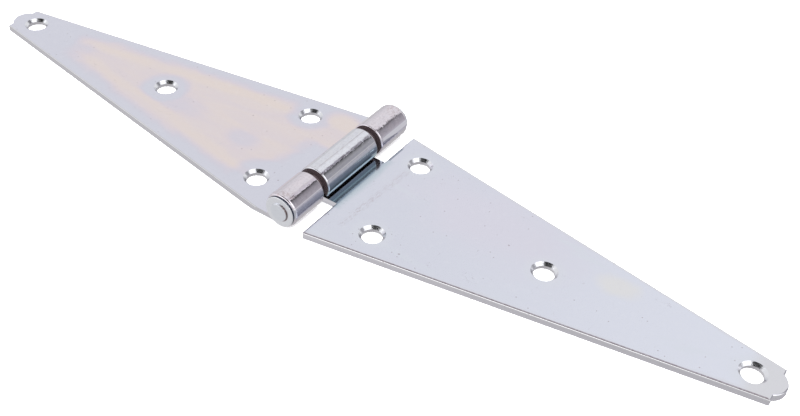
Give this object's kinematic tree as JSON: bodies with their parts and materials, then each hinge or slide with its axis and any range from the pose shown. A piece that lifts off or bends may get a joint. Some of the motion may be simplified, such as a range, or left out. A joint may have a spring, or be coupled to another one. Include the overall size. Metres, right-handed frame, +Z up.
{
  "type": "double strap hinge",
  "caption": "Surface-mounted strap hinge: two long tapered steel leaves with countersunk screw holes, rolled onto one riveted pin.",
  "frame": {"origin": "in the plane of the leaf backs, straight below the middle of the pin", "axes": "+X along the right leaf, Y along the pin, +Z up, away from the surface the hinge is screwed to; the hinge lies open flat"},
  "size_m": [0.3094, 0.0652, 0.012],
  "materials": {
    "zinc_leaf": "bright zinc plating over cold-rolled sheet, faint yellow and pink iridescence, fine scratches",
    "zinc_pin": "bright zinc plating on the heads, dull dark steel on the shank"
  },
  "bodies": {
    "left_leaf_and_pin": {"left_leaf": "zinc_leaf", "hinge_pin": "zinc_pin"},
    "right_leaf": {"right_leaf": "zinc_leaf"}
  },
  "joints": [
    {"name": "leaf_swing", "type": "hinge", "parent": "left_leaf_and_pin", "child": "right_leaf", "pos_m": [0, 0, 0.006], "axis": [0, -1, 0], "range_deg": [-105, 180]}
  ]
}
